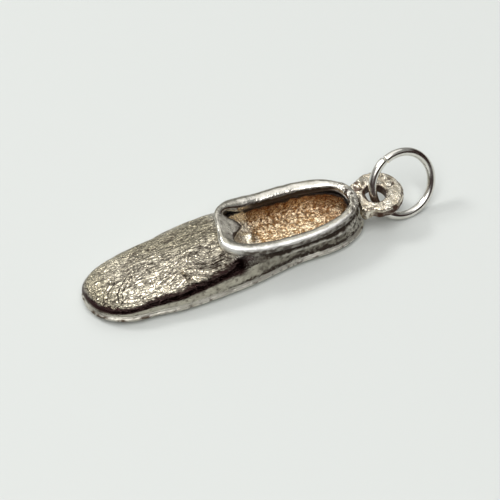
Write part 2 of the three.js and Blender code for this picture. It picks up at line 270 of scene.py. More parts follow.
def surface(name, points, ends=None, **paint):
    """A closed mesh over the grid. ends are the two closing points, and without them the rings join like a tyre.
    Each paint is an array over the grid, kept on the mesh for its material to read. Points stay inside the box of
    the imported pieces, so that relief doesn't make the charm larger."""
    points = np.clip(points, *(np.array(cad_box) / MILLIMETRE))
    rings, columns = points.shape[:2]
    index = np.arange(rings * columns).reshape(rings, columns)
    rows = index if ends is not None else np.vstack([index, index[:1]])
    low, high = rows[:-1], rows[1:]
    faces = np.stack([low, np.roll(low, -1, 1), np.roll(high, -1, 1), high], -1).reshape(-1, 4).tolist()
    corners = points.reshape(-1, 3)
    if ends is not None:
        corners = np.vstack([corners, ends])
        first, last = index[0], index[-1]
        faces += np.stack([np.full(columns, len(corners) - 2), np.roll(first, -1), first], -1).tolist()
        faces += np.stack([np.full(columns, len(corners) - 1), last, np.roll(last, -1)], -1).tolist()
    mesh = bpy.data.meshes.new(name)
    mesh.from_pydata((corners * MILLIMETRE).tolist(), [], faces)
    mesh.polygons.foreach_set("use_smooth", [True] * len(mesh.polygons))
    for label, values in paint.items():
        kind, key = ("FLOAT_VECTOR", "vector") if values.ndim == 3 else ("FLOAT", "value")
        flat = values.reshape(-1, 3) if values.ndim == 3 else values.reshape(-1, 1)
        if ends is not None:
            flat = np.vstack([flat, flat[:1], flat[-1:]])
        mesh.attributes.new(label, kind, "POINT").data.foreach_set(key, flat.astype(np.float32).ravel())
    mesh.update()
    size = np.ptp(corners, axis=0)
    print(name, len(mesh.polygons), "faces,", " x ".join(f"{s:.2f}" for s in size), "mm")
    return placed(name, mesh)


def dress(piece, body, node, material):
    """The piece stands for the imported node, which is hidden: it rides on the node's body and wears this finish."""
    piece.data.materials.append(material)
    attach(piece, body)
    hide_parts(node)


# %% [markdown]
# ## Shader maths as Python
#
# A finish is a network of nodes. Written out by hand it is long and hard to read, so a small class wraps one output
# of a node: adding, subtracting or multiplying two of them adds the Math node that does it. Every other node comes
# from one method, which takes the node's type, its settings and what goes into its sockets.

# %% The signal and the finish
class Signal:
    """One output of a node. The operators add Math nodes."""

    def __init__(self, finish, socket):
        self.finish, self.socket = finish, socket

    def maths(self, operation, *values):
        """The outcome of one Math node on these signals or numbers."""
        return self.finish.node("ShaderNodeMath", {"operation": operation}, dict(enumerate(values)))

    def __add__(self, other):
        return self.maths("ADD", self, other)

    def __sub__(self, other):
        return self.maths("SUBTRACT", self, other)

    def __rsub__(self, other):
        return self.maths("SUBTRACT", other, self)

    def __mul__(self, other):
        return self.maths("MULTIPLY", self, other)

    def __abs__(self):
        return self.maths("ABSOLUTE", self)

    __radd__ = __add__
    __rmul__ = __mul__

    def ramp(self, start, end):
        """0 at start and 1 at end, smooth between, held outside."""
        sockets = {"Value": self, "From Min": start, "From Max": end}
        return self.finish.node("ShaderNodeMapRange", {"interpolation_type": "SMOOTHSTEP"}, sockets)


def most_of(first, second):
    """The larger of two signals at each point."""
    return first.maths("MAXIMUM", first, second)


class Finish:
    """A material whose nodes are added by node()."""

    def __init__(self, name):
        self.material = bpy.data.materials.new(name)
        self.material.use_nodes = True
        self.tree = self.material.node_tree
        self.tree.nodes.clear()

    def node(self, kind, settings=None, sockets=None, output=0):
        """Adds a node: first its settings, then a value or a signal for each socket. Gives the chosen output."""
        made = self.tree.nodes.new(kind)
        for key, value in (settings or {}).items():
            setattr(made, key, value)
        for key, value in (sockets or {}).items():
            if isinstance(value, Signal):
                self.tree.links.new(value.socket, made.inputs[key])
            else:
                made.inputs[key].default_value = value
        return Signal(self, made.outputs[output]) if made.outputs else made

    def paint(self, label, output="Fac"):
        """What the mesh carries under this name."""
        return self.node("ShaderNodeAttribute", {"attribute_name": label}, output=output)

    def stretched(self, vector, scale):
        """A vector with each direction multiplied by its own number."""
        return self.node("ShaderNodeVectorMath", {"operation": "MULTIPLY"}, {0: vector, 1: scale})

    def noise(self, vector, scale, detail, roughness, distortion=0.0):
        """Cloudy noise from 0 to 1. On a vector in millimetres, scale 2 gives lumps about half a millimetre wide."""
        sockets = {"Vector": vector, "Scale": scale, "Detail": detail, "Roughness": roughness,
                   "Distortion": distortion}
        return self.node("ShaderNodeTexNoise", None, sockets)

    def blend(self, share, first, second):
        """The first colour where share is 0 and the second where it is 1."""
        sockets = {0: share, 6: first, 7: second}
        return self.node("ShaderNodeMix", {"data_type": "RGBA"}, sockets, output=2)

    def bump(self, height, distance):
        """The surface seen as raised by height times the distance, in metres."""
        return self.node("ShaderNodeBump", None, {"Height": height, "Distance": distance, "Strength": 1.0})

    def close(self, sockets):
        """Ends the network in the shader that Blender uses for most real surfaces."""
        shader = self.node("ShaderNodeBsdfPrincipled", None, sockets)
        self.node("ShaderNodeOutputMaterial", None, {"Surface": shader})
        return self.material

    def metal(self, colour, roughness, metallic, normal):
        """Ends the network in a metal."""
        return self.close({"Base Color": colour, "Roughness": roughness, "Metallic": metallic, "Normal": normal})


# %% [markdown]
# ## The upper
#
# The vamp, the walls and the collar are one skin that closes on itself: up from the seam, over the dome of the
# toe, round the bead of the collar, out along the small lip behind the throat, and down the inner wall. On the real
# casting the vamp copies wrinkled leather. The big folds are raised in the mesh, because they catch the light on
# their flanks and show at the outline. The fine grain is left to the finish.

# %% Where the leather folds
SWIRL, SWIRL_TURN, SWIRL_REACH = np.array([-2.8, -1.6]), 0.9, 1.2
TOE_CREASES = (((-10.2, -0.6), (-11.0, -1.2), (-11.2, -1.7)),
               ((-8.4, -0.4), (-9.3, -1.1), (-10.0, -1.75), (-10.1, -2.3)))
FOLDS = (((-4.3, -2.2), (-3.6, -2.9), (-2.8, -3.2)), ((-3.9, -2.9), (-3.4, -3.3)))


def distance_to(points, line):
    """Distance in the plan from each point to a line through a few places, more than 0 on its heel side."""
    nearest = np.full(points.shape[:-1], 9.0)
    for start, end in zip(line, line[1:]):
        start, run = np.array(start), np.array(end) - np.array(start)
        away = points[..., :2] - start
        along = np.clip((away @ run) / (run @ run), 0, 1)
        reach = np.linalg.norm(away - along[..., None] * run, axis=-1)
        reach = reach * np.sign(away[..., 1] * run[0] - away[..., 0] * run[1])
        nearest = np.where(np.abs(reach) < np.abs(nearest), reach, nearest)
    return nearest


def nearest_of(points, lines):
    """The signed distance to whichever line is the nearest, held within 1 mm."""
    away = np.array([distance_to(points, line) for line in lines])
    nearest = np.take_along_axis(away, np.abs(away).argmin(0)[None], 0)[0]
    return np.clip(nearest, -1, 1)


def grain_flow(points):
    """Where the grain runs: the points, turned about a swirl in front of the throat, the more the nearer to it."""
    x, y = np.moveaxis(points[..., :2] - SWIRL, -1, 0)
    turn = SWIRL_TURN * np.exp(-(x**2 + y**2) / SWIRL_REACH**2)
    warp = lattice_noise(points, 2.3, 5)
    turned = (x * np.cos(turn) - y * np.sin(turn), x * np.sin(turn) + y * np.cos(turn) + 0.35 * warp)
    return grid(turned[0], turned[1], points[..., 2])


def leather(points, flow):
    """Height of the leather's folds: long wrinkles where a stretched noise passes through nothing, a ridge along
    each crease of the toe and two folds on the near side."""
    long_noise = lattice_noise(flow * (0.32, 1.9, 1.2), 1.0, 11)
    short_noise = lattice_noise(flow * (0.6, 3.4, 2.0), 1.0, 12)
    height = 0.03 * fade(np.abs(long_noise), 0, 0.3) + 0.02 * fade(np.abs(short_noise), 0, 0.35)
    height += 0.015 * lattice_noise(points, 0.7, 13)
    height += 0.07 * hump(nearest_of(points, TOE_CREASES), 0.17, 0.14)
    fold = nearest_of(points, FOLDS)
    height += 0.17 * hump(fold, 0, 0.14) - 0.1 * hump(fold, -0.3, 0.12)
    return height


# %% The rings of the upper
def upper_rings(angle):
    """All rings of the upper as one grid, and how far round the skin each lies: below 0 under the feather line, 0 to
    1 up the outside, 1 to 2 over the bead, 2 to 3 out along the lip, 3 to 4 round its edge, 4 to 5 back under it,
    5 to 6 down the inner wall and 6 to 7 home along the seam."""
    parts, shares = [], []

    def add(x, y, z, share):
        parts.append(grid(x, y, z))
        shares.append(np.broadcast_to(share, parts[-1].shape[:2]))

    rise = np.linspace(0, 1, 6)[:-1, None]
    x, y = outline(angle, SEAM_INSET * (1 - rise) ** 1.5)
    add(np.minimum(x, EYE_SEAT), y, mix(SEAM, FEATHER, rise), rise - 1)

    climb = (np.arange(116) / 116)[:, None] ** 1.4
    outer, inner = outline(angle, 0), mouth(angle, GROOVE_OUT)
    x, y = mix(outer[0], inner[0], climb), mix(outer[1], inner[1], climb)
    top = crest(inner[0]) - np.maximum(GROOVE_DROP, 1.5 * bead_radius(angle))
    far_share = climb ** mix(0.42, 0.45, np.maximum(0, np.sin(angle)))
    far_share = mix(far_share, climb**0.85, fade(outer[0], -4.0, 1.5))
    near = vamp_height(x, y) + (top - vamp_height(*inner)) * climb**3
    near = mix(near, mix(FEATHER, top, climb**0.85), fade(x, -0.9, 0.7))
    add(np.minimum(x, EYE_SEAT), y, mix(near, mix(FEATHER, top, far_share), fade(y, -0.6, 0.6)), climb)

    radius = bead_radius(angle)
    edge_x, edge_y = mouth(angle, -radius)
    lip = lip_reach(edge_y) * (np.cos(angle) < 0)
    flat = fade(lip, 0, 0.4)
    over = np.linspace(0, 1, 22)[:, None]
    turn = mix(-np.pi / 3, mix(np.pi, LIP_START, flat), over)
    x, y = mouth(angle, radius * signed_power(np.cos(turn), BEAD_SQUARENESS))
    add(x, y, crest(x) - radius + radius * signed_power(np.sin(turn), BEAD_SQUARENESS), 1 + over)

    from_x, from_y, from_z = np.moveaxis(parts[-1][-1], -1, 0)
    out = np.linspace(0, 1, 12)[1:, None]
    tip_x, tip_z = edge_x + lip, from_z - LIP_DROP * flat
    sag = 0.06 * flat * np.sin(np.pi * out)
    add(mix(from_x, tip_x, out), mix(from_y, edge_y, out), mix(from_z, tip_z, out) - sag, 2 + out)

    half = mix(LIP_EDGE, LIP_THICKNESS, flat) / 2
    round_edge = np.linspace(0, np.pi, 8)[1:, None]
    add(tip_x + half * np.sin(round_edge), edge_y, tip_z - half + half * np.cos(round_edge), 3 + round_edge / np.pi)

    lip_under = tip_z - 2 * half
    back = np.linspace(0, 1, 6)[1:, None]
    wall_x, wall_y = mouth(angle, -WALL_TOP_INSET)
    wall_top = crest(wall_x) - WALL_TOP_DROP
    add(mix(tip_x, wall_x, back), mix(edge_y, wall_y, back), mix(lip_under, wall_top, back), 4 + back)

    down = np.linspace(0, 1, 6)[1:, None]
    foot_x, foot_y = mouth(angle, -WALL_FOOT_INSET)
    add(mix(wall_x, foot_x, down), mix(wall_y, foot_y, down), mix(wall_top, SEAM, down), 5 + down)

    home = np.linspace(0, 1, 4)[1:-1, None]
    x, y = outline(angle, SEAM_INSET)
    add(mix(foot_x, np.minimum(x, EYE_SEAT), home), mix(foot_y, y, home), SEAM, 6 + home)
    return np.vstack(parts), np.vstack(shares)


angle = even_angles(560)
points, share = upper_rings(angle)
flow = grain_flow(points)
print("upper grid", points.shape[:2])

# %% [markdown]
# ## Which part of the upper is which
#
# The real upper looks like one casting that was worked in several ways: leather on the vamp, plain walls, a polished
# bead, solder at the heel. One material can show them all if the mesh says which is where. So each is a mask, a
# number from 0 to 1 at every point, told by how far round the skin the point lies, by its place, or by the way it
# faces. Multiplying masks keeps what they share. Random lumps shift their edges, so that neither tarnish nor painted
# shade has a clean line.
#
# `plate` is the top of the lip. On the near wall, `seam` is the pitted line above the sole, `ridge` the swelling at
# half height and `under` the rough hollow between it and the bead.

# %% Masks by place
x, y, z = np.moveaxis(points, -1, 0)
facing = normals(points, tyre=True)
elevation = np.degrees(np.arcsin(np.clip(facing[..., 2], -1, 1)))
ragged = lumps(points, (1, 0.45, 25), (0.7, 0.2, 29))
speckle = lumps(points, (1, 0.3, 30), (0.6, 0.15, 31))
near = fade(y, 0.3, -0.6)
near_flank = fade(facing[..., 1], -0.2, -0.5) * fade(facing[..., 2], 0.73, 0.62)
to_near = fade(facing[..., 1], 0.1 + 0.5 * (x < -11.5), -0.3)

outside = (share >= 0) & (share <= 1)
vamp = outside * fade(x, 0.6, -0.9) * fade(share, 1.0, 0.97) * fade(share, 0, 0.04) * (1 - 0.9 * near_flank)
walls = outside * fade(x, 0.2, 2.2) * fade(x, 11.9, 11.2)
bead = fade(share, 1.0, 1.15) * fade(share, 2.2, 1.9)
on_bead = (share >= 1) * (share <= 2)
plate = (share > 1.95) * (share < 3.3) * fade(x, 2.2, 1.8)
heel = fade(x, 9.6, 11.4) * (share > -1) * (share < 1.95)
print("leather covers", round(float(vamp.mean()), 3), "of the upper's points")

# %% Lines along the near wall
seam_width = mix(0.13, 0.33, hump(x, 6.0, 4.5))
seam = (share < 0.6) * hump(z + 0.1 * ragged, 1.15, seam_width) * fade(x, -4.0, 1.0)
seam = seam * mix(1.0, 0.75, fade(x, 3.0, -1.0))
under = walls * near * fade(share + 0.06 * ragged, 0.48, 0.66) * fade(x, 0.5, 4.0)
ridge = walls * near * hump(share + 0.03 * ragged, 0.45, 0.09) * fade(x, 3.0, 5.5)

# %% [markdown]
# ## Relief on the upper
#
# Relief that is wider than the gap between two points belongs in the mesh, where it also changes the outline. So
# each point moves along its own normal by a sum of masks times heights, in millimetres.

# %% Fold, groove and pit the upper
lift = vamp * leather(points, flow)
lift += walls * (0.06 * hump(share, 0.5, 0.12) - 0.05 * hump(share, 0.86, 0.1))
lift += walls * (lumps(points, (0.04, 0.7, 21), (0.03, 0.35, 22)) - 0.04)
lift += bead * lumps(points, (0.03, 1.3, 23), (0.02, 0.6, 24))
lift += heel * (0.05 * ragged + 0.02 * speckle - 0.03)
lift -= 0.1 * seam * fade(ragged + speckle, -1.0, 0.5) + 0.04 * under * fade(ragged, -0.5, 0.5) - 0.05 * ridge
points = raised(points, lift, tyre=True)

# %% [markdown]
# ## Paint on the upper
#
# Tarnish gathers in the groove under the bead, round the lip's edge, along the seam and in the pits of the solder.
# `band` is a painted reflection of dark surroundings along the near flank of the toe, partly tarnish.
# `corner` is painted shade beside the throat, `far_inside` painted shade on the wall inside the shoe on the far
# side and `inner_line` painted shade under the lip and at the top of the inner wall. On the near bead,
# `below` is painted shade on the outer side, `bright` the polished line on top with a painted highlight,
# and `greyed` a painted grey reflection on the inner side. On the far bead the outer side takes that grey.
#
# Being painted, they stay with the metal when the view changes, as real reflections and shade would not.

# %% Dark paint: tarnish, painted shade and a painted reflection
# A painted reflection of dark surroundings along the near flank of the toe, partly tarnish.
band = outside * to_near * fade(x, 1.2, 0.4) * fade(elevation + 2 * ragged, 20, 27)
band = band * fade(elevation + 5 * ragged, 53, 45)
# Darker on the near walls towards the heel, less on the ridge, and in specks on the steep low wall.
low_wall = (share < 1) * to_near * fade(elevation, 30, 18) * fade(speckle, -0.6, 1.4)
mottle = 0.6 * low_wall + walls * (0.08 + 0.22 * near * fade(x, 2.0, 6.0) * (1 - heel)) * (1 - ridge)
# Painted shade on the outer side of the near bead.
below = on_bead * near * fade(share + 0.04 * ragged, 1.41, 1.33) * fade(x, -0.6, 1.2)
heel_pits = heel * fade(ragged + speckle, 0.5, 1.1)
# Painted shade beside the throat's near corner.
corner = fade(x, -3.4, -0.8) * fade(y, -0.9, -2.2) * fade(ragged + 0.5 * speckle, -1.0, 0.8)
toe_edge = outside * hump(z, 1.45, 0.25) * fade(x, -9.5, -11.8)
groove = hump(share, 0.985, 0.025) * outside * fade(x, -1.5, 1.0)
lip_edge = hump(share, 3.12, 0.3)
# Painted shade under the lip and at the top of the inner wall, and on the inner wall on the far side.
inner_line = hump(share, 4.6, 0.8) * fade(x, 1.0, 3.0)
far_inside = fade(y, 0.6, 1.6) * fade(share + 0.03 * ragged, 1.83, 1.87) * (share < 7) * fade(x, 1.8, 3.8)

# Tarnish in the hollows and pits, with the painted shade and reflection added to it.
patina = mottle + below * (0.55 + 0.3 * fade(ragged + speckle, -1.0, 0.6)) + 0.8 * heel_pits
patina = patina + 0.8 * vamp * corner + 0.7 * toe_edge + 0.5 * groove + 0.85 * lip_edge
patina = patina + plate * 0.35 * fade(speckle, 0.1, 1.0) + inner_line + far_inside
patina = np.clip(patina, 0, 1)
print("painted dark:", round(float(patina.mean()), 3), "of the upper")

# %% Painted grey shade and reflection, a painted highlight on the polish, and matt paint
# A painted grey reflection on the inner side of the near bead, the outer side of the far bead and at the throat.
near_inner = near * fade(share + 0.02 * ragged, 1.53, 1.6)
far_outer = fade(y, 0.3, 0.9) * fade(share + 0.03 * ragged, 1.63, 1.56)
throat_front = 0.6 * fade(x, 0.9, 0.2) * fade(y, -1.2, -0.4)
throat_far = 0.7 * fade(x, 3.2, 1.6) * fade(y, 0.4, 1.2)
greyed = on_bead * np.maximum.reduce([near_inner, far_outer, throat_front, throat_far])
# Painted grey shade on steep walls facing the near side and on the lip's top, with the grey reflection.
dull = outside * fade(elevation, 36, 26) * np.maximum(walls, to_near) * (1 - ridge) * (1 - 0.7 * heel)
dull = np.maximum.reduce([0.5 * plate, dull, 0.8 * greyed])
# The polished line along the top of the near bead, lightened as a painted highlight.
bright = on_bead * near * (1 - greyed) * (1 - below) * (share < 1.7) * fade(x, 11.0, 9.0)
grainy = np.maximum(plate, 0.55 * walls * near * (share < 1) * fade(x, 1.0, 4.0))

# %% Distances, and wear with a painted sheen on the leather
swirl = np.linalg.norm(points[..., :2] - SWIRL, axis=-1)
creases, folds = nearest_of(points, TOE_CREASES), nearest_of(points, FOLDS)
# Lighter towards the near side and the toe, but not at the toe's tip: wear, together with a painted sheen.
worn = fade(y + 0.25 * x + 0.5 * lattice_noise(points, 1.6, 28), 0.2, -2.6) * outside * fade(x, -11.4, -8.6)
print("worn bright:", round(float(worn.mean()), 3), "of the upper")


# %% [markdown]
# ## The finish of the cast skin
#
# The charm looks like a base metal with a dulled, warm silver wash. Polish shows on whatever stands proud, and a
# brown-black tarnish stays in every crease and pit. So the same lines and grains make both: they shape the bump, and
# where they are deep the colour turns dark and the surface dull.

# %% Parts of the leather's pattern
def veins(finish, flow_mm, stretch, detail, distortion):
    """0 along thin wandering lines and more away from them: twice the distance of a stretched noise from 0.5."""
    noise = finish.noise(finish.stretched(flow_mm, stretch), 1.0, detail, 0.5, distortion)
    return abs(noise - 0.5) * 2


def drawn_lines(finish, grain):
    """1 on a pair of lines along each crease of the toe, and a half on a line beside the folds."""
    crease, fold = finish.paint("crease"), finish.paint("fold")
    pair = most_of(1 - abs(crease).ramp(0.01, 0.07), 1 - abs(crease - 0.34).ramp(0.01, 0.055))
    return most_of(pair * grain.ramp(0.35, 0.55), 0.5 - abs(fold + 0.26).ramp(0.02, 0.12) * 0.5)


def swirl_waves(finish, grain):
    """Waves round the swirl: the sine of the distance from it, shaken by the grain, between two distances."""
    swirl = finish.paint("swirl")
    wave = swirl.maths("SINE", swirl * 22.0 + grain * 9.0)
    return wave * swirl.ramp(0.25, 0.5) * (1 - swirl.ramp(0.8, 1.6))


# %% Cast skin
# The grey silver stands for painted shade and reflection.
SILVER, PALE_SILVER, GREY_SILVER = (0.66, 0.63, 0.56, 1), (0.78, 0.75, 0.68, 1), (0.36, 0.335, 0.265, 1)
# The polished silver holds a painted highlight; the worn and dull leathers are wear with a painted sheen.
POLISHED, DULL_LEATHER, WORN_LEATHER = (0.93, 0.92, 0.88, 1), (0.41, 0.37, 0.27, 1), (0.95, 0.87, 0.70, 1)
# The tarnish also stands for painted shade, and the dark band is a painted dark reflection.
TARNISH, DARK_BAND = (0.045, 0.03, 0.02, 1), (0.028, 0.006, 0.007, 1)
SKIN_DEPTH = 0.00013  # metres, as Blender wants it


def cast_skin():
    """Height and tarnish come from the same lines and grains. On leather they are worms, hairs and cobbles; on the
    solder, the lip and the near wall they are plain grain; elsewhere they are fine and shallow."""
    finish = Finish("cast_skin_finish")
    flow_mm = finish.paint("flow", "Vector")
    on_leather, worn, solder, matt, bright, band = map(
        finish.paint, ("leather", "worn", "solder", "matt", "bright", "band"))

    worms = veins(finish, flow_mm, (0.4, 2.4, 1.8), 2.0, 0.5)
    hair = veins(finish, flow_mm, (0.9, 5.4, 4.0), 2.0, 0.6)
    cobble = veins(finish, flow_mm, (2.0, 2.8, 2.8), 1.0, 0.4)
    grain, broad = finish.noise(flow_mm, 3.6, 3.0, 0.6), finish.noise(flow_mm, 1.4, 4.0, 0.6)
    satin, rust = finish.noise(flow_mm, 7.0, 2.0, 0.6), finish.noise(flow_mm, 2.4, 4.0, 0.7)
    lines, wave = drawn_lines(finish, grain), swirl_waves(finish, grain)

    folds = wave * 0.2 - lines * 0.9 + worms.ramp(0.0, 0.14) * 0.5 + hair.ramp(0.0, 0.16) * 0.3
    folds = folds + cobble.ramp(0.0, 0.18) * 0.4 + grain * 0.35
    plain_metal = broad * 0.35 + grain * 0.15 + satin * 0.12
    height = on_leather * folds * (worn * 0.45 + 0.55) + (1 - on_leather) * plain_metal
    height = height + solder * (grain * 0.9 + broad * 0.5) + matt * (grain * 0.9 + satin * 0.9)

    creases = (1 - worms.ramp(0.0, 0.11)) * 0.55 + (1 - hair.ramp(0.0, 0.12)) * 0.3
    creases = creases + (1 - cobble.ramp(0.0, 0.1)) * 0.3 + lines * 0.75 + (1 - wave.ramp(-0.9, -0.2)) * 0.35
    pits = (1 - on_leather) * (1 - satin.ramp(0.3, 0.42)) * 0.25
    pits = pits + matt * (1 - grain.ramp(0.35, 0.6)) * 0.3 + solder * (1 - grain.ramp(0.38, 0.5)) * 0.8
    stain = finish.paint("under") * (1.25 - rust.ramp(0.4, 0.66) * 0.9)
    stain = stain + finish.paint("seam") * (1.2 - rust.ramp(0.45, 0.6) * 0.9)
    # The darkening adds the painted shade and reflection to the tarnish.
    dark = (on_leather * creases + finish.paint("patina") + pits + stain).ramp(0.0, 1.0)

    # Painted light in the colour: grey shade and reflection, a highlight on the polished bead, sheen on the leather.
    silver = finish.blend(broad.ramp(0.35, 0.65), SILVER, PALE_SILVER)
    silver = finish.blend(finish.paint("dull") * 0.85, silver, GREY_SILVER)
    silver = finish.blend(bright, silver, POLISHED)
    colour = finish.blend(on_leather, silver, finish.blend(worn, DULL_LEATHER, WORN_LEATHER))
    # The band is a painted dark reflection.
    colour = finish.blend(band * 0.96, finish.blend(dark, colour, TARNISH), DARK_BAND)
    roughness = 0.2 - band * 0.08 + dark * 0.3 + bright * 0.3 + matt * 0.25
    return finish.metal(colour, roughness, 1 - dark * 0.3, finish.bump(height, SKIN_DEPTH))


upper = surface("upper_skin", points, flow=flow, leather=vamp, patina=patina, band=band, worn=worn,
                crease=creases, fold=folds, swirl=swirl, dull=dull,
                solder=heel, bright=bright, under=under, seam=seam, matt=grainy)
dress(upper, "shoe", "upper", cast_skin())

# %% [markdown]
# ## The sole
#
# The sole is a plain plate with a rounded edge. Its skin is rings from the middle of the flat underside, round the
# edge and back to the middle on top, where the upper covers it. The edge is silver with dark specks, which lie
# closer together at the toe.

# %% The rings of the sole
edge_inset = through([[0, 0.42], [0.18, 0.22], [0.6, -0.06], [0.85, 0.15]])


def sole_rings(angle):
    """Flat rings spread out from the middle, then the edge rises along its curve, then flat rings lead back."""
    spread = np.linspace(0.12, 1, 9)[:-1, None]
    flat_x, flat_y = outline(angle, edge_inset(0.0))
    rise = np.linspace(0, SEAM, 17)[:, None]
    edge_x, edge_y = outline(angle, edge_inset(rise))
    top_x, top_y = outline(angle, SEAM_INSET)
    back = spread[::-1]
    return np.vstack([grid(flat_x * spread, flat_y * spread, 0.0), grid(edge_x, edge_y, rise),
                      grid(top_x * back, top_y * back, SEAM)])


points = sole_rings(even_angles(480))
print("sole grid", points.shape[:2])

# %% Grain and specks on the sole
x, y, z = np.moveaxis(points, -1, 0)
side = fade(z, 0.1, 0.3) * fade(z, 0.84, 0.7)
lift = -side * np.abs(lumps(points, (0.03, 0.9, 31), (0.02, 0.4, 32)))
points = raised(points, lift, tyre=False)
speckle = lumps(points, (1, 0.3, 33), (0.6, 0.15, 34))
clean, dirty = 0.1 + 0.6 * fade(speckle, 0.25, 0.8), 0.3 + 0.6 * fade(speckle, -0.3, 0.5)
patina = side * mix(clean, dirty, fade(x, -3.0, -8.0))

# %% Finish of the sole
GREY_EDGE, PALE_EDGE, BROWN_SPECK = (0.70, 0.68, 0.59, 1), (0.85, 0.83, 0.74, 1), (0.09, 0.06, 0.04, 1)
SOLE_DEPTH = 0.00008


def sole_skin():
    """Two silvers in broad clouds, with the painted specks and the lowest grain turned brown."""
    finish = Finish("sole_skin_finish")
    flow_mm, tarnish = finish.paint("flow", "Vector"), finish.paint("patina")
    broad, grain = finish.noise(flow_mm, 0.9, 4.0, 0.6), finish.noise(flow_mm, 4.0, 3.0, 0.6)
    dark = ((1 - grain.ramp(0.3, 0.42)) * 0.35 + tarnish).ramp(0.0, 1.0)
    colour = finish.blend(dark, finish.blend(broad.ramp(0.35, 0.65), GREY_EDGE, PALE_EDGE), BROWN_SPECK)
    normal = finish.bump(broad * 0.3 + grain * 0.35, SOLE_DEPTH)
    return finish.metal(colour, 0.4 + dark * 0.2, 1 - dark * 0.3, normal)


sole = surface("sole_plate", points, ends=[(0, 0, 0), (0, 0, SEAM)], flow=points, patina=patina)
dress(sole, "shoe", "sole", sole_skin())

# %% [markdown]
# ## The insole
#
# Inside the shoe lies a shallow trough with the rough, sugary skin of an unpolished casting. Its floor is a coppery
# brown, and its front slope, which meets the lip, is silver. A rounded knob stands on that slope. The floor takes
# painted shade towards the far side, the heel and the top of the trough, and a painted black shadow runs under the
# far edge.

# %% The rings of the insole
KNOB_SIDE, KNOB_HALF_WIDTH = 0.25, 0.42
CLEARANCE, INSOLE_DROP, INSOLE_EDGE, FLOOR_INSET, FLOOR_FRONT = 0.1, 0.8, 0.16, 1.3, 3.2


def insole_rings(angle):
    """Out along the flat underside, up the outer side, over the edge, and down the trough along a quarter of an
    ellipse to the floor, which closes in the middle."""
    middle = np.array([MOUTH_X, 0.0])
    foot = mouth(angle, -WALL_FOOT_INSET - CLEARANCE)
    spread = np.linspace(0.15, 1, 5)[:, None]
    under = grid(mix(middle[0], foot[0], spread), foot[1] * spread, SEAM)
    inset = WALL_TOP_INSET + CLEARANCE
    rim_x, rim_y = mouth(angle, -inset)
    rim_z = crest(rim_x) - INSOLE_DROP
    up = np.linspace(0, 1, 7)[1:, None]
    side = grid(mix(foot[0], rim_x, up), mix(foot[1], rim_y, up), mix(SEAM, rim_z, up))
    turn = np.linspace(0, np.pi / 2, 64)[:, None]
    edge_x, edge_y = mouth(angle, -inset - INSOLE_EDGE)
    floor_x = MOUTH_X + (FLOOR_FRONT - FLOOR_INSET) / 2
    floor = oval(angle, floor_x, MOUTH_HALF_LENGTH - (FLOOR_FRONT + FLOOR_INSET) / 2,
                 MOUTH_HALF_WIDTH - FLOOR_INSET)
    inward = 1 - np.cos(turn)
    z = mix(crest(edge_x) - INSOLE_DROP, FLOOR, np.sin(turn))
    x, y = mix(edge_x, floor[0], inward), mix(edge_y, floor[1], inward)
    front = fade(np.cos(angle), -0.2, -0.9)
    push = 0.55 + 0.75 * hump(y, KNOB_SIDE, KNOB_HALF_WIDTH)
    x = x + front * push * np.sin(turn) ** 1.5 * np.cos(turn) ** 0.6 * 1.3
    trough = grid(x, y, z)
    close = np.linspace(1, 0.04, 22)[1:, None]
    flat = grid(mix(floor_x, floor[0], close), floor[1] * close, FLOOR)
    return np.vstack([under, side, trough, flat]), len(under) + len(side), floor_x


points, start, floor_x = insole_rings(even_angles(420))
print("insole grid", points.shape[:2])

# %% Grain and knob on the insole
inside = (np.arange(len(points)) >= start)[:, None] * np.ones(points.shape[1])
x, y, z = np.moveaxis(points, -1, 0)
sugar = lumps(points, (0.035, 0.36, 41), (0.035, 0.18, 42), (0.03, 0.9, 43))
silver = inside * fade(x + 0.25 * lattice_noise(points, 0.6, 44), 3.3, 2.3)
knob = 0.32 * hump(x, 2.35, 0.28) * hump(y, KNOB_SIDE, KNOB_HALF_WIDTH)
points = raised(points, inside * (sugar * mix(1, 0.6, silver) + knob), tyre=False)

# %% Paint on the insole
# Painted shade: darker towards the far side, the heel and the top of the trough.
shade = inside * np.clip(fade(y, 0.3, 2.3) * 0.75 + fade(x, 7.5, 10.8) * 0.6 + fade(z, 2.0, 2.9) * 0.3, 0, 1)
ragged = lumps(points, (1, 0.4, 45), (0.6, 0.18, 46))
# A painted black shadow under the insole's edge, reaching further down on the far side; the hidden outer side is
# black.
depth = crest(x) - INSOLE_DROP - z
reach = 0.16 * fade(x, 1.4, 3.4) * mix(1.0, 0.3, fade(x, 7.5, 10.5)) * fade(y, 0.2, 0.9)
black = np.where(inside > 0, fade(depth + 0.16 * ragged, 0.1 + reach, 0.02 + 0.9 * reach), 1.0)

# %% Finish of the insole
# The deep brown also stands for painted shade, and the black for a painted shadow.
BROWN_COPPER, WORN_COPPER, DEEP_BROWN = (0.45, 0.26, 0.105, 1), (0.98, 0.84, 0.6, 1), (0.13, 0.05, 0.018, 1)
PALE_SLOPE, SLOPE_HOLLOW, DIRT = (0.97, 0.9, 0.74, 1), (0.3, 0.2, 0.12, 1), (0.02, 0.014, 0.01, 1)
FLOOR_DEPTH = 0.00014


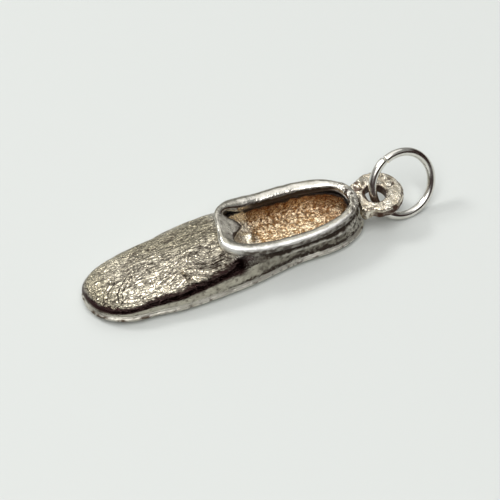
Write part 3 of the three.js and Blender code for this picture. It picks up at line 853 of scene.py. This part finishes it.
def coppery_floor():
    """Copper from brown to nearly white by its grain, darker under the painted shade, silver where painted, and
    a painted black shadow under the edge.
    """
    finish = Finish("coppery_floor_finish")
    flow_mm = finish.paint("flow", "Vector")
    silver_mask, deep, black = finish.paint("silver"), finish.paint("shade"), finish.paint("black")
    grain, fine = finish.noise(flow_mm, 3.2, 2.0, 0.6), finish.noise(flow_mm, 6.5, 3.0, 0.7)
    hollows = 1 - fine.ramp(0.36, 0.5)
    copper = finish.blend((grain * 0.5 + fine * 0.5).ramp(0.42, 0.58), BROWN_COPPER, WORN_COPPER)
    copper = finish.blend((deep * 0.75 + hollows * 0.5).ramp(0, 1), copper, DEEP_BROWN)
    pale = finish.blend(hollows * 0.4, PALE_SLOPE, SLOPE_HOLLOW)
    colour = finish.blend(black, finish.blend(silver_mask, copper, pale), DIRT)
    return finish.metal(colour, 0.27, 1 - black * 0.3, finish.bump(grain * 0.4 + fine * 0.6, FLOOR_DEPTH))


insole = surface("insole_floor", points, ends=[(MOUTH_X, 0, SEAM), (floor_x, 0, FLOOR)], flow=points, silver=silver,
                 shade=shade, black=black)
dress(insole, "shoe", "insole", coppery_floor())

# %% [markdown]
# ## The eye at the heel
#
# The eye is a thick tab with a hole. It looks soldered to the heel and never polished: its neck is ridged and its
# edge is pitted. Its skin runs round like a tyre: in over the top, down through the hole, out below and up the edge.

# %% The rings of the eye
EDGE_CORNER, HOLE_CORNER, TAB_WIDTH = 0.36, 0.2, 1.2


def eye_outline(count):
    """The tab's plan: straight across at the heel, two flares into a round, spaced evenly along its length."""
    neck = EYE_RADIUS * np.array([np.cos(NECK_RUN), np.sin(NECK_RUN)])
    seat = np.array([-EYE_REACH, NECK_HALF_WIDTH])
    start = seat + (NECK_STRAIGHT, 0)
    pull = np.array([(neck[0] + start[0]) / 2, NECK_HALF_WIDTH])
    t = np.linspace(0, 1, 60)[:, None]
    flare = np.vstack([seat, (1 - t) ** 2 * start + 2 * t * (1 - t) * pull + t**2 * neck])
    arc = np.linspace(NECK_RUN, -NECK_RUN, 200)
    round_part = EYE_RADIUS * np.stack([np.cos(arc), np.sin(arc)], -1)
    line = np.vstack([flare, round_part[1:-1], flare[::-1] * (1, -1), seat])[::-1]
    travel = np.r_[0, np.cumsum(np.linalg.norm(np.diff(line, axis=0), axis=1))]
    place = np.arange(count) * travel[-1] / count
    return np.interp(place, travel, line[:, 0]), np.interp(place, travel, line[:, 1])


def eye_rings(count):
    """Each ring is the plan drawn in towards the hole by a share, at a height, and the corners are a quarter round.
    The hole's centre lies off the tab's, and solder narrows the hole on the shoe's side at mid height."""
    plan_x, plan_y = eye_outline(count)
    bearing = np.arctan2(plan_y - HOLE_SIDE, plan_x + HOLE_FORWARD)
    hole_x, hole_y = EYE_HOLE * np.cos(bearing) - HOLE_FORWARD, EYE_HOLE * np.sin(bearing) + HOLE_SIDE
    half, corner, hole_corner, width = EYE_THICKNESS / 2, EDGE_CORNER, HOLE_CORNER, TAB_WIDTH
    quarter = np.linspace(0, np.pi / 2, 8)
    top = np.r_[corner * (1 - np.cos(quarter)), np.linspace(corner, width - hole_corner, 18)[1:-1],
                width - hole_corner + hole_corner * np.sin(quarter)] / width
    rise = np.r_[half - corner + corner * np.sin(quarter), np.full(16, half),
                 half - hole_corner + hole_corner * np.cos(quarter)]
    down_hole, up_edge = np.linspace(0.35, -0.35, 6)[1:-1], np.linspace(-0.27, 0.27, 6)[1:-1]
    share = np.r_[top, np.ones(4), top[::-1], np.zeros(4)][:, None]
    height = np.r_[rise, down_hole, -rise[::-1], up_edge][:, None]
    fill = 0.1 + 0.34 * hump(bearing % (2 * np.pi), np.pi, 1.0) * np.clip(1 - (height / 0.5) ** 2, 0, 1)
    narrow = 1 - fill * fade(share, 0.7, 1.0) / EYE_HOLE
    hole_x, hole_y = (hole_x + HOLE_FORWARD) * narrow - HOLE_FORWARD, (hole_y - HOLE_SIDE) * narrow + HOLE_SIDE
    return grid(mix(plan_x, hole_x, share), mix(plan_y, hole_y, share), height), share + 0 * plan_x


points, share = eye_rings(260)
local = points.copy()
print("eye grid", points.shape[:2])

# %% Relief on the eye
x, y, z = np.moveaxis(local, -1, 0)
rough = lumps(local, (0.05, 1.1, 51), (0.025, 0.45, 52))
ragged = lumps(local, (1, 0.33, 53), (0.6, 0.17, 54))
from_hole = fade(np.hypot(x + HOLE_FORWARD, y - HOLE_SIDE), EYE_HOLE + 0.02, EYE_HOLE + 0.4)
at_seat = fade(x, -EYE_REACH, -EYE_REACH + 0.25)
neck = fade(x, -0.9, -1.4)
ridges = 0.05 * np.sin(2 * np.pi * (y * 0.7 + x + 0.15 * ragged) / 0.42) * neck * fade(y, 0.0, 0.6)
lobe = 0.22 * hump(x, -1.2, 0.5) * hump(y, 1.35, 0.5) * fade(z, -0.2, 0.4)
rim_side = fade(share, 0.22, 0.06)
pitted = fade(ragged, 0.1, 0.6) * rim_side * fade(x, -1.2, -0.5)
wrinkled = fade(ragged, -0.1, 0.5) * neck * (0.3 + 0.7 * fade(y, -0.2, 0.5))
fillet = 0.35 * rim_side * neck * fade(y, -0.4, -1.0)
round_side = 0.1 * rim_side * fade(x, -1.2, -0.4)
lift = at_seat * (from_hole * (rough + ridges + lobe - 0.05 * wrinkled) - 0.06 * pitted - 0.03 + round_side)
lift = lift + fillet * fade(x, -EYE_REACH, -EYE_REACH + 0.1)
points = raised(points, lift, tyre=True) + (EYE_SEAT + EYE_REACH, EYE_SIDE, EYE_HEIGHT)

# %% Paint on the eye
# A painted dark reflection along the lower edge on the near side.
edge_dark = rim_side * fade(y, -0.6, -1.2) * fade(z, 0.35, 0.15) * (0.7 + 0.3 * fade(ragged, -0.5, 0.2))
edge_dark = edge_dark * fade(x, -1.3, -0.8)
patina = np.clip(0.8 * pitted + 0.8 * wrinkled + edge_dark, 0, 1)
# Painted shade down the wall of the hole.
hole_wall = fade(share, 0.9, 1.0)

# %% Finish of the eye
# The eye's tarnish colour also stands for the painted shade and reflection.
WARM_SILVER, PALE_WARM_SILVER, EYE_TARNISH = (0.62, 0.54, 0.41, 1), (0.88, 0.82, 0.7, 1), (0.075, 0.035, 0.02, 1)
EYE_DEPTH = 0.00015


def eye_skin():
    """Warm silver in clouds, brown along thin wandering lines and in the pits, painted shade down the wall of the
    hole and a painted dark reflection along the near lower edge.
    """
    finish = Finish("eye_skin_finish")
    flow_mm, tarnish, hole = finish.paint("flow", "Vector"), finish.paint("patina"), finish.paint("hole")
    clouds, fine = finish.noise(flow_mm, 1.7, 4.0, 0.6, 0.3), finish.noise(flow_mm, 5.0, 3.0, 0.6)
    worms = 1 - abs(finish.noise(flow_mm, 0.9, 2.0, 0.5, 0.8) - 0.5).ramp(0.0, 0.02)
    dark = (worms * 0.7 + (1 - fine.ramp(0.3, 0.4)) * 0.35 + tarnish + hole * 0.85).ramp(0.0, 1.0)
    colour = finish.blend(clouds.ramp(0.35, 0.65), WARM_SILVER, PALE_WARM_SILVER)
    colour = finish.blend(dark, colour, EYE_TARNISH)
    height = clouds * 0.9 + fine * 0.5 - worms * 0.5
    return finish.metal(colour, 0.22 + dark * 0.3, 1 - dark * 0.3, finish.bump(height, EYE_DEPTH))


eye = surface("eye_tab", points, flow=local, patina=patina, hole=hole_wall)
dress(eye, "shoe", "heel_eye", eye_skin())

# %% [markdown]
# ## The jump ring
#
# The ring is drawn wire, bent round and cut, so it is smooth and bright. Its two ends never meet exactly. The wire
# is a circle carried along an arc that stops short of itself. It is made lying flat about its own centre, so that
# the streaks of the finish can follow it, and is then tilted and moved to pass through the hole.

# %% The rings of the wire
WIRE_STEPS, WIRE_COLUMNS, END_DRIFT, END_ROUND = 220, 28, 0.07, 0.07


def wire_rings(steps, columns):
    """A circle carried along the arc from one cut end to the other. The last part of the arc drifts inwards, so
    that the ends don't meet."""
    half_gap = RING_GAP / 2 / RING_RADIUS
    along = np.linspace(0, 1, steps)[:, None]
    arc = RING_CUT + half_gap + along * 2 * (np.pi - half_gap)
    end = np.minimum(along, 1 - along) * 2 * np.pi * RING_RADIUS
    thin = WIRE_RADIUS * (0.8 + 0.2 * np.sqrt(np.clip(1 - (1 - np.clip(end / END_ROUND, 0, 1)) ** 2, 0, 1)))
    turn = np.arange(columns) * 2 * np.pi / columns
    radius = RING_RADIUS - END_DRIFT * fade(along, 0.82, 1.0) * fade(along, 0.2, 0.8) + thin * np.cos(turn)
    return radius * np.cos(arc), radius * np.sin(arc), thin * np.sin(turn)


flat = grid(*wire_rings(WIRE_STEPS, WIRE_COLUMNS))
print("wire grid", flat.shape[:2])

# %% Stand the ring in the eye's hole
centre_height = RING_RADIUS * math.sin(RING_TILT) + WIRE_RADIUS
up_plane = (EYE_HEIGHT - centre_height) / math.sin(RING_TILT)
back_plane = math.sqrt(RING_RADIUS**2 - up_plane**2)
in_hole = (EYE_SEAT + EYE_REACH - HOLE_FORWARD - WIRE_FORWARD, EYE_SIDE + HOLE_SIDE + WIRE_SIDE, centre_height)
place = (Matrix.Translation(in_hole) @ Matrix.Rotation(RING_HEADING, 4, "Z")
         @ Matrix.Translation((back_plane, -up_plane * math.cos(RING_TILT), 0)) @ Matrix.Rotation(RING_TILT, 4, "X"))
turn, shift = np.array(place.to_3x3()), np.array(place.translation)
points = flat @ turn.T + shift
ends = [flat[0].mean(0) @ turn.T + shift, flat[-1].mean(0) @ turn.T + shift]
print("the ring's centre is", round(centre_height, 2), "mm up")

# %% Finish of the wire
WIRE_GREY, WIRE_SILVER, WIRE_DEPTH = (0.68, 0.66, 0.6, 1), (0.82, 0.8, 0.75, 1), 0.000012


def bright_wire():
    """A nearly smooth metal: faint streaks along the wire and clouds of wear that only change the gloss and tint."""
    finish = Finish("bright_wire_finish")
    flow_mm = finish.paint("flow", "Vector")
    drawn = finish.noise(finish.stretched(flow_mm, (0.6, 0.6, 5.0)), 1.0, 3.0, 0.6)
    wear = finish.noise(flow_mm, 0.7, 3.0, 0.6)
    colour = finish.blend(wear.ramp(0.3, 0.7), WIRE_GREY, WIRE_SILVER)
    return finish.metal(colour, 0.17 + wear.ramp(0.35, 0.75) * 0.1, 1.0, finish.bump(drawn, WIRE_DEPTH))


jump_ring = surface("jump_ring_wire", points, ends=ends, flow=flat)
dress(jump_ring, "ring", "jump_ring", bright_wire())

# %% [markdown]
# ## Floor, light and a dark card
#
# A polished metal shows what stands round it, so the light is set up as for jewellery: a pale floor, a pale room, a
# small lamp high on the far side that draws the shadow, a wide one overhead and one on the near side for the sheen.
# A low dark card stands round the near side. The metal mirrors it as darker bands, and the camera doesn't see it.

# %% Floor and card
def plain(name, colour, roughness):
    """Paper of one colour, for what isn't part of the charm."""
    return Finish(name).close({"Base Color": (*colour, 1), "Roughness": roughness, "Specular IOR Level": 0.2})


def sheet(name, corners, faces, material):
    """A flat or bent sheet that only sets the stage."""
    mesh = bpy.data.meshes.new(name)
    mesh.from_pydata(corners, [], faces)
    mesh.materials.append(material)
    made = placed(name, mesh)
    return made


FLOOR_HALF = 1.5
floor_corners = [(FLOOR_HALF * i, FLOOR_HALF * j, 0) for i, j in ((-1, -1), (1, -1), (1, 1), (-1, 1))]
sheet("floor", floor_corners, [(0, 1, 2, 3)], plain("floor_paper", (0.61, 0.63, 0.61), 0.8))

CARD_RADIUS, CARD_HEIGHT = 0.35, 0.25
bearing = np.radians(np.linspace(-100, 115, 44))
foot = np.stack([CARD_RADIUS * np.sin(bearing), -CARD_RADIUS * np.cos(bearing), 0.001 + 0 * bearing], -1)
rim = foot + (0, 0, CARD_HEIGHT)
n = len(bearing)
card = sheet("dark_card", np.vstack([foot, rim]).tolist(), [(i, i + 1, n + i + 1, n + i) for i in range(n - 1)],
             plain("dark_card_paper", (0.03, 0.012, 0.012), 0.9))
card.visible_camera = False


# %% Lamps and world
def lamp(name, place, size, power):
    """A round lamp of this many metres and watts, turned to the charm."""
    data = bpy.data.lights.new(name, "AREA")
    data.shape, data.size, data.energy = "DISK", size, power
    made = placed(name, data)
    made.location = place
    made.rotation_euler = (-Vector(place)).to_track_quat("-Z", "Y").to_euler()


lamp("far_lamp", (-0.35, 0.35, 0.5), 0.17, 1.5)
lamp("sky_lamp", (0, 0.28, 0.62), 0.9, 1.9)
lamp("near_lamp", (-0.1, -0.22, 0.55), 0.5, 2.6)

world = bpy.data.worlds.new("pale_room")
bpy.context.scene.world = world
world.use_nodes = True
world.node_tree.nodes["Background"].inputs["Color"].default_value = (0.3, 0.304, 0.3, 1)
bpy.context.scene.view_settings.view_transform = "Standard"

# %% [markdown]
# ## Camera
#
# The picture was taken from above the near side, a little towards the toe. Nothing tells its lens, so the camera's
# elevation and its distance of 200 mm are a choice. Its bearing was picked from a few and its aim fitted to the
# outline. The lens follows: a picture 500 pixels wide spans 41 mm at the point that the camera looks at.

# %% Camera
AIM = Vector((1.822, -1.248, 2.0)) * MILLIMETRE
BEARING, ELEVATION, DISTANCE = math.radians(-22.2), math.radians(50.0), 0.2
PICTURE_WIDTH, PIXEL = 500, 0.0826
back = Vector((math.sin(BEARING) * math.cos(ELEVATION), -math.cos(BEARING) * math.cos(ELEVATION),
               math.sin(ELEVATION)))
data = bpy.data.cameras.new("camera")
data.sensor_width = 36
data.lens = data.sensor_width * DISTANCE / (PICTURE_WIDTH * PIXEL * MILLIMETRE)
data.clip_start, data.clip_end = 0.01, 10
camera = placed("camera", data)
camera.location = AIM + back * DISTANCE
camera.rotation_euler = back.to_track_quat("Z", "Y").to_euler()
bpy.context.scene.camera = camera
print("lens", round(data.lens, 1), "mm")
